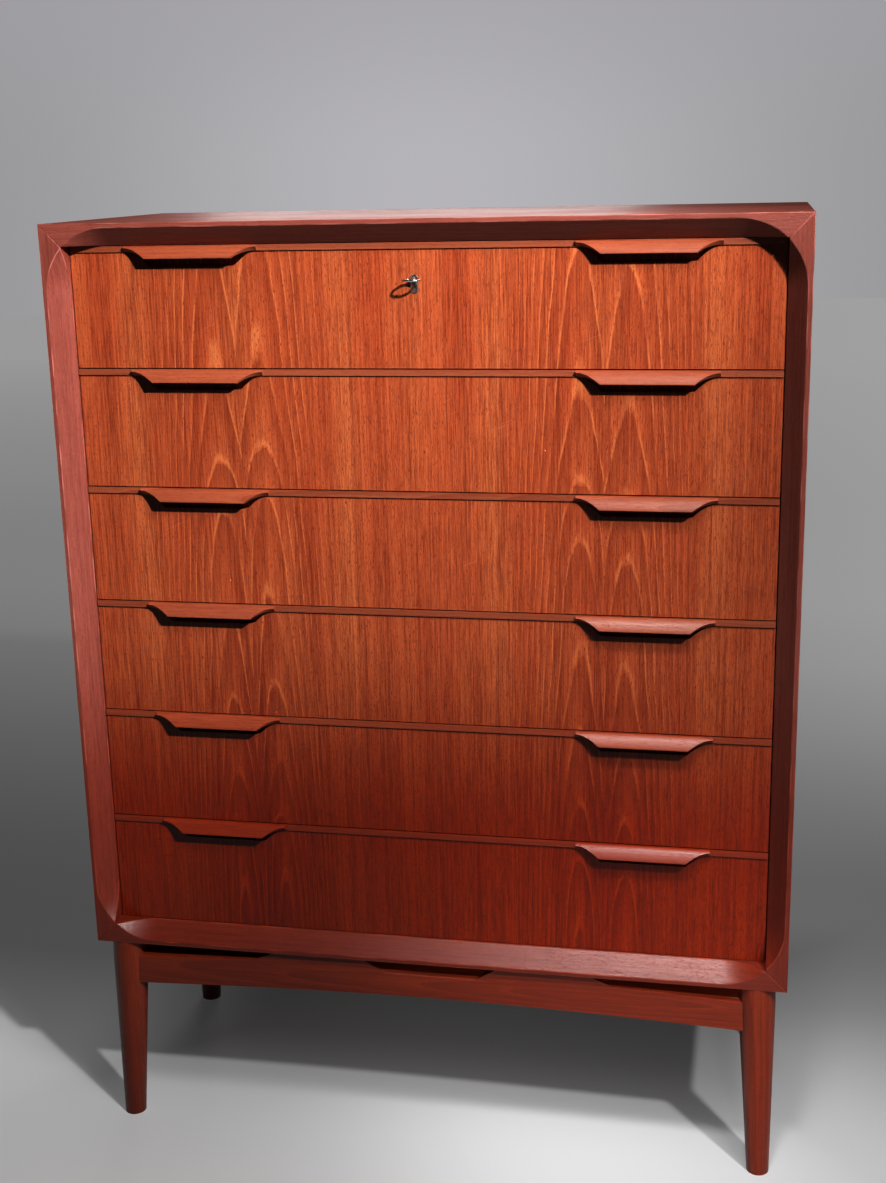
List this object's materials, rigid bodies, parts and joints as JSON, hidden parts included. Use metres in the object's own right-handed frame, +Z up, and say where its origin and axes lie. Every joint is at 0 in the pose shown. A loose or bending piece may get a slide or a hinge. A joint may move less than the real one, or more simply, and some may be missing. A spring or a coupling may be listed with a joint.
{
  "type": "tall chest of drawers",
  "caption": "Tall chest of drawers in teak with a flared case front, carved lip handles, a lock in the top drawer and round tapered legs.",
  "frame": {"origin": "on the floor under the middle of the case", "axes": "+Z up, +X to the right seen from the front, the drawers open towards -Y"},
  "size_m": [0.94, 0.4304, 1.246],
  "materials": {
    "teak_case": "oiled solid-edged teak, red brown, satin",
    "teak_front": "oiled teak veneer, orange brown, satin",
    "teak_lip": "oiled solid teak, satin",
    "teak_base": "oiled solid teak, dark, satin",
    "drawer_wood": "lacquered pale hardwood",
    "plywood": "sealed plywood",
    "steel": "plain steel",
    "brass": "dull brass",
    "nickel": "worn nickel plate"
  },
  "bodies": {
    "case": {"case_top": "teak_case", "case_bottom": "teak_case", "case_left_side": "teak_case", "case_right_side": "teak_case", "corner_splines": "drawer_wood", "back_panel": "plywood", "back_screws": "brass", "left_runners": "drawer_wood", "right_runners": "drawer_wood", "runner_screws": "steel", "front_rail": "teak_base", "back_rail": "teak_base", "left_rail": "teak_base", "right_rail": "teak_base", "front_left_leg": "teak_base", "front_right_leg": "teak_base", "back_left_leg": "teak_base", "back_right_leg": "teak_base", "base_screws": "steel"},
    "drawer_1": {"drawer_1_front": "teak_front", "drawer_1_lip": "teak_lip", "drawer_1_left_side": "drawer_wood", "drawer_1_right_side": "drawer_wood", "drawer_1_back": "drawer_wood", "drawer_1_bottom": "plywood", "lock_case": "steel", "keyhole_ring": "nickel"},
    "drawer_2": {"drawer_2_front": "teak_front", "drawer_2_lip": "teak_lip", "drawer_2_left_side": "drawer_wood", "drawer_2_right_side": "drawer_wood", "drawer_2_back": "drawer_wood", "drawer_2_bottom": "plywood"},
    "drawer_3": {"drawer_3_front": "teak_front", "drawer_3_lip": "teak_lip", "drawer_3_left_side": "drawer_wood", "drawer_3_right_side": "drawer_wood", "drawer_3_back": "drawer_wood", "drawer_3_bottom": "plywood"},
    "drawer_4": {"drawer_4_front": "teak_front", "drawer_4_lip": "teak_lip", "drawer_4_left_side": "drawer_wood", "drawer_4_right_side": "drawer_wood", "drawer_4_back": "drawer_wood", "drawer_4_bottom": "plywood"},
    "drawer_5": {"drawer_5_front": "teak_front", "drawer_5_lip": "teak_lip", "drawer_5_left_side": "drawer_wood", "drawer_5_right_side": "drawer_wood", "drawer_5_back": "drawer_wood", "drawer_5_bottom": "plywood"},
    "drawer_6": {"drawer_6_front": "teak_front", "drawer_6_lip": "teak_lip", "drawer_6_left_side": "drawer_wood", "drawer_6_right_side": "drawer_wood", "drawer_6_back": "drawer_wood", "drawer_6_bottom": "plywood"},
    "lock_bolt": {"lock_bolt": "brass"},
    "key": {"key": "nickel"}
  },
  "joints": [
    {"name": "drawer_1_slide", "type": "slide", "parent": "case", "child": "drawer_1", "axis": [0, -1, 0], "range_m": [0, 0.3]},
    {"name": "drawer_2_slide", "type": "slide", "parent": "case", "child": "drawer_2", "axis": [0, -1, 0], "range_m": [0, 0.3]},
    {"name": "drawer_3_slide", "type": "slide", "parent": "case", "child": "drawer_3", "axis": [0, -1, 0], "range_m": [0, 0.3]},
    {"name": "drawer_4_slide", "type": "slide", "parent": "case", "child": "drawer_4", "axis": [0, -1, 0], "range_m": [0, 0.3]},
    {"name": "drawer_5_slide", "type": "slide", "parent": "case", "child": "drawer_5", "axis": [0, -1, 0], "range_m": [0, 0.3]},
    {"name": "drawer_6_slide", "type": "slide", "parent": "case", "child": "drawer_6", "axis": [0, -1, 0], "range_m": [0, 0.3]},
    {"name": "key_turn", "type": "hinge", "parent": "drawer_1", "child": "key", "pos_m": [0, -0.189, 1.17325], "axis": [0, 1, 0], "range_deg": [0, 90]},
    {"name": "lock_bolt_slide", "type": "slide", "parent": "drawer_1", "child": "lock_bolt", "axis": [0, 0, 1], "range_m": [0, 0.008]}
  ],
  "couplings": [
    {"joint": "key_turn", "follows": "lock_bolt_slide", "rad_per_m": 196.34}
  ]
}
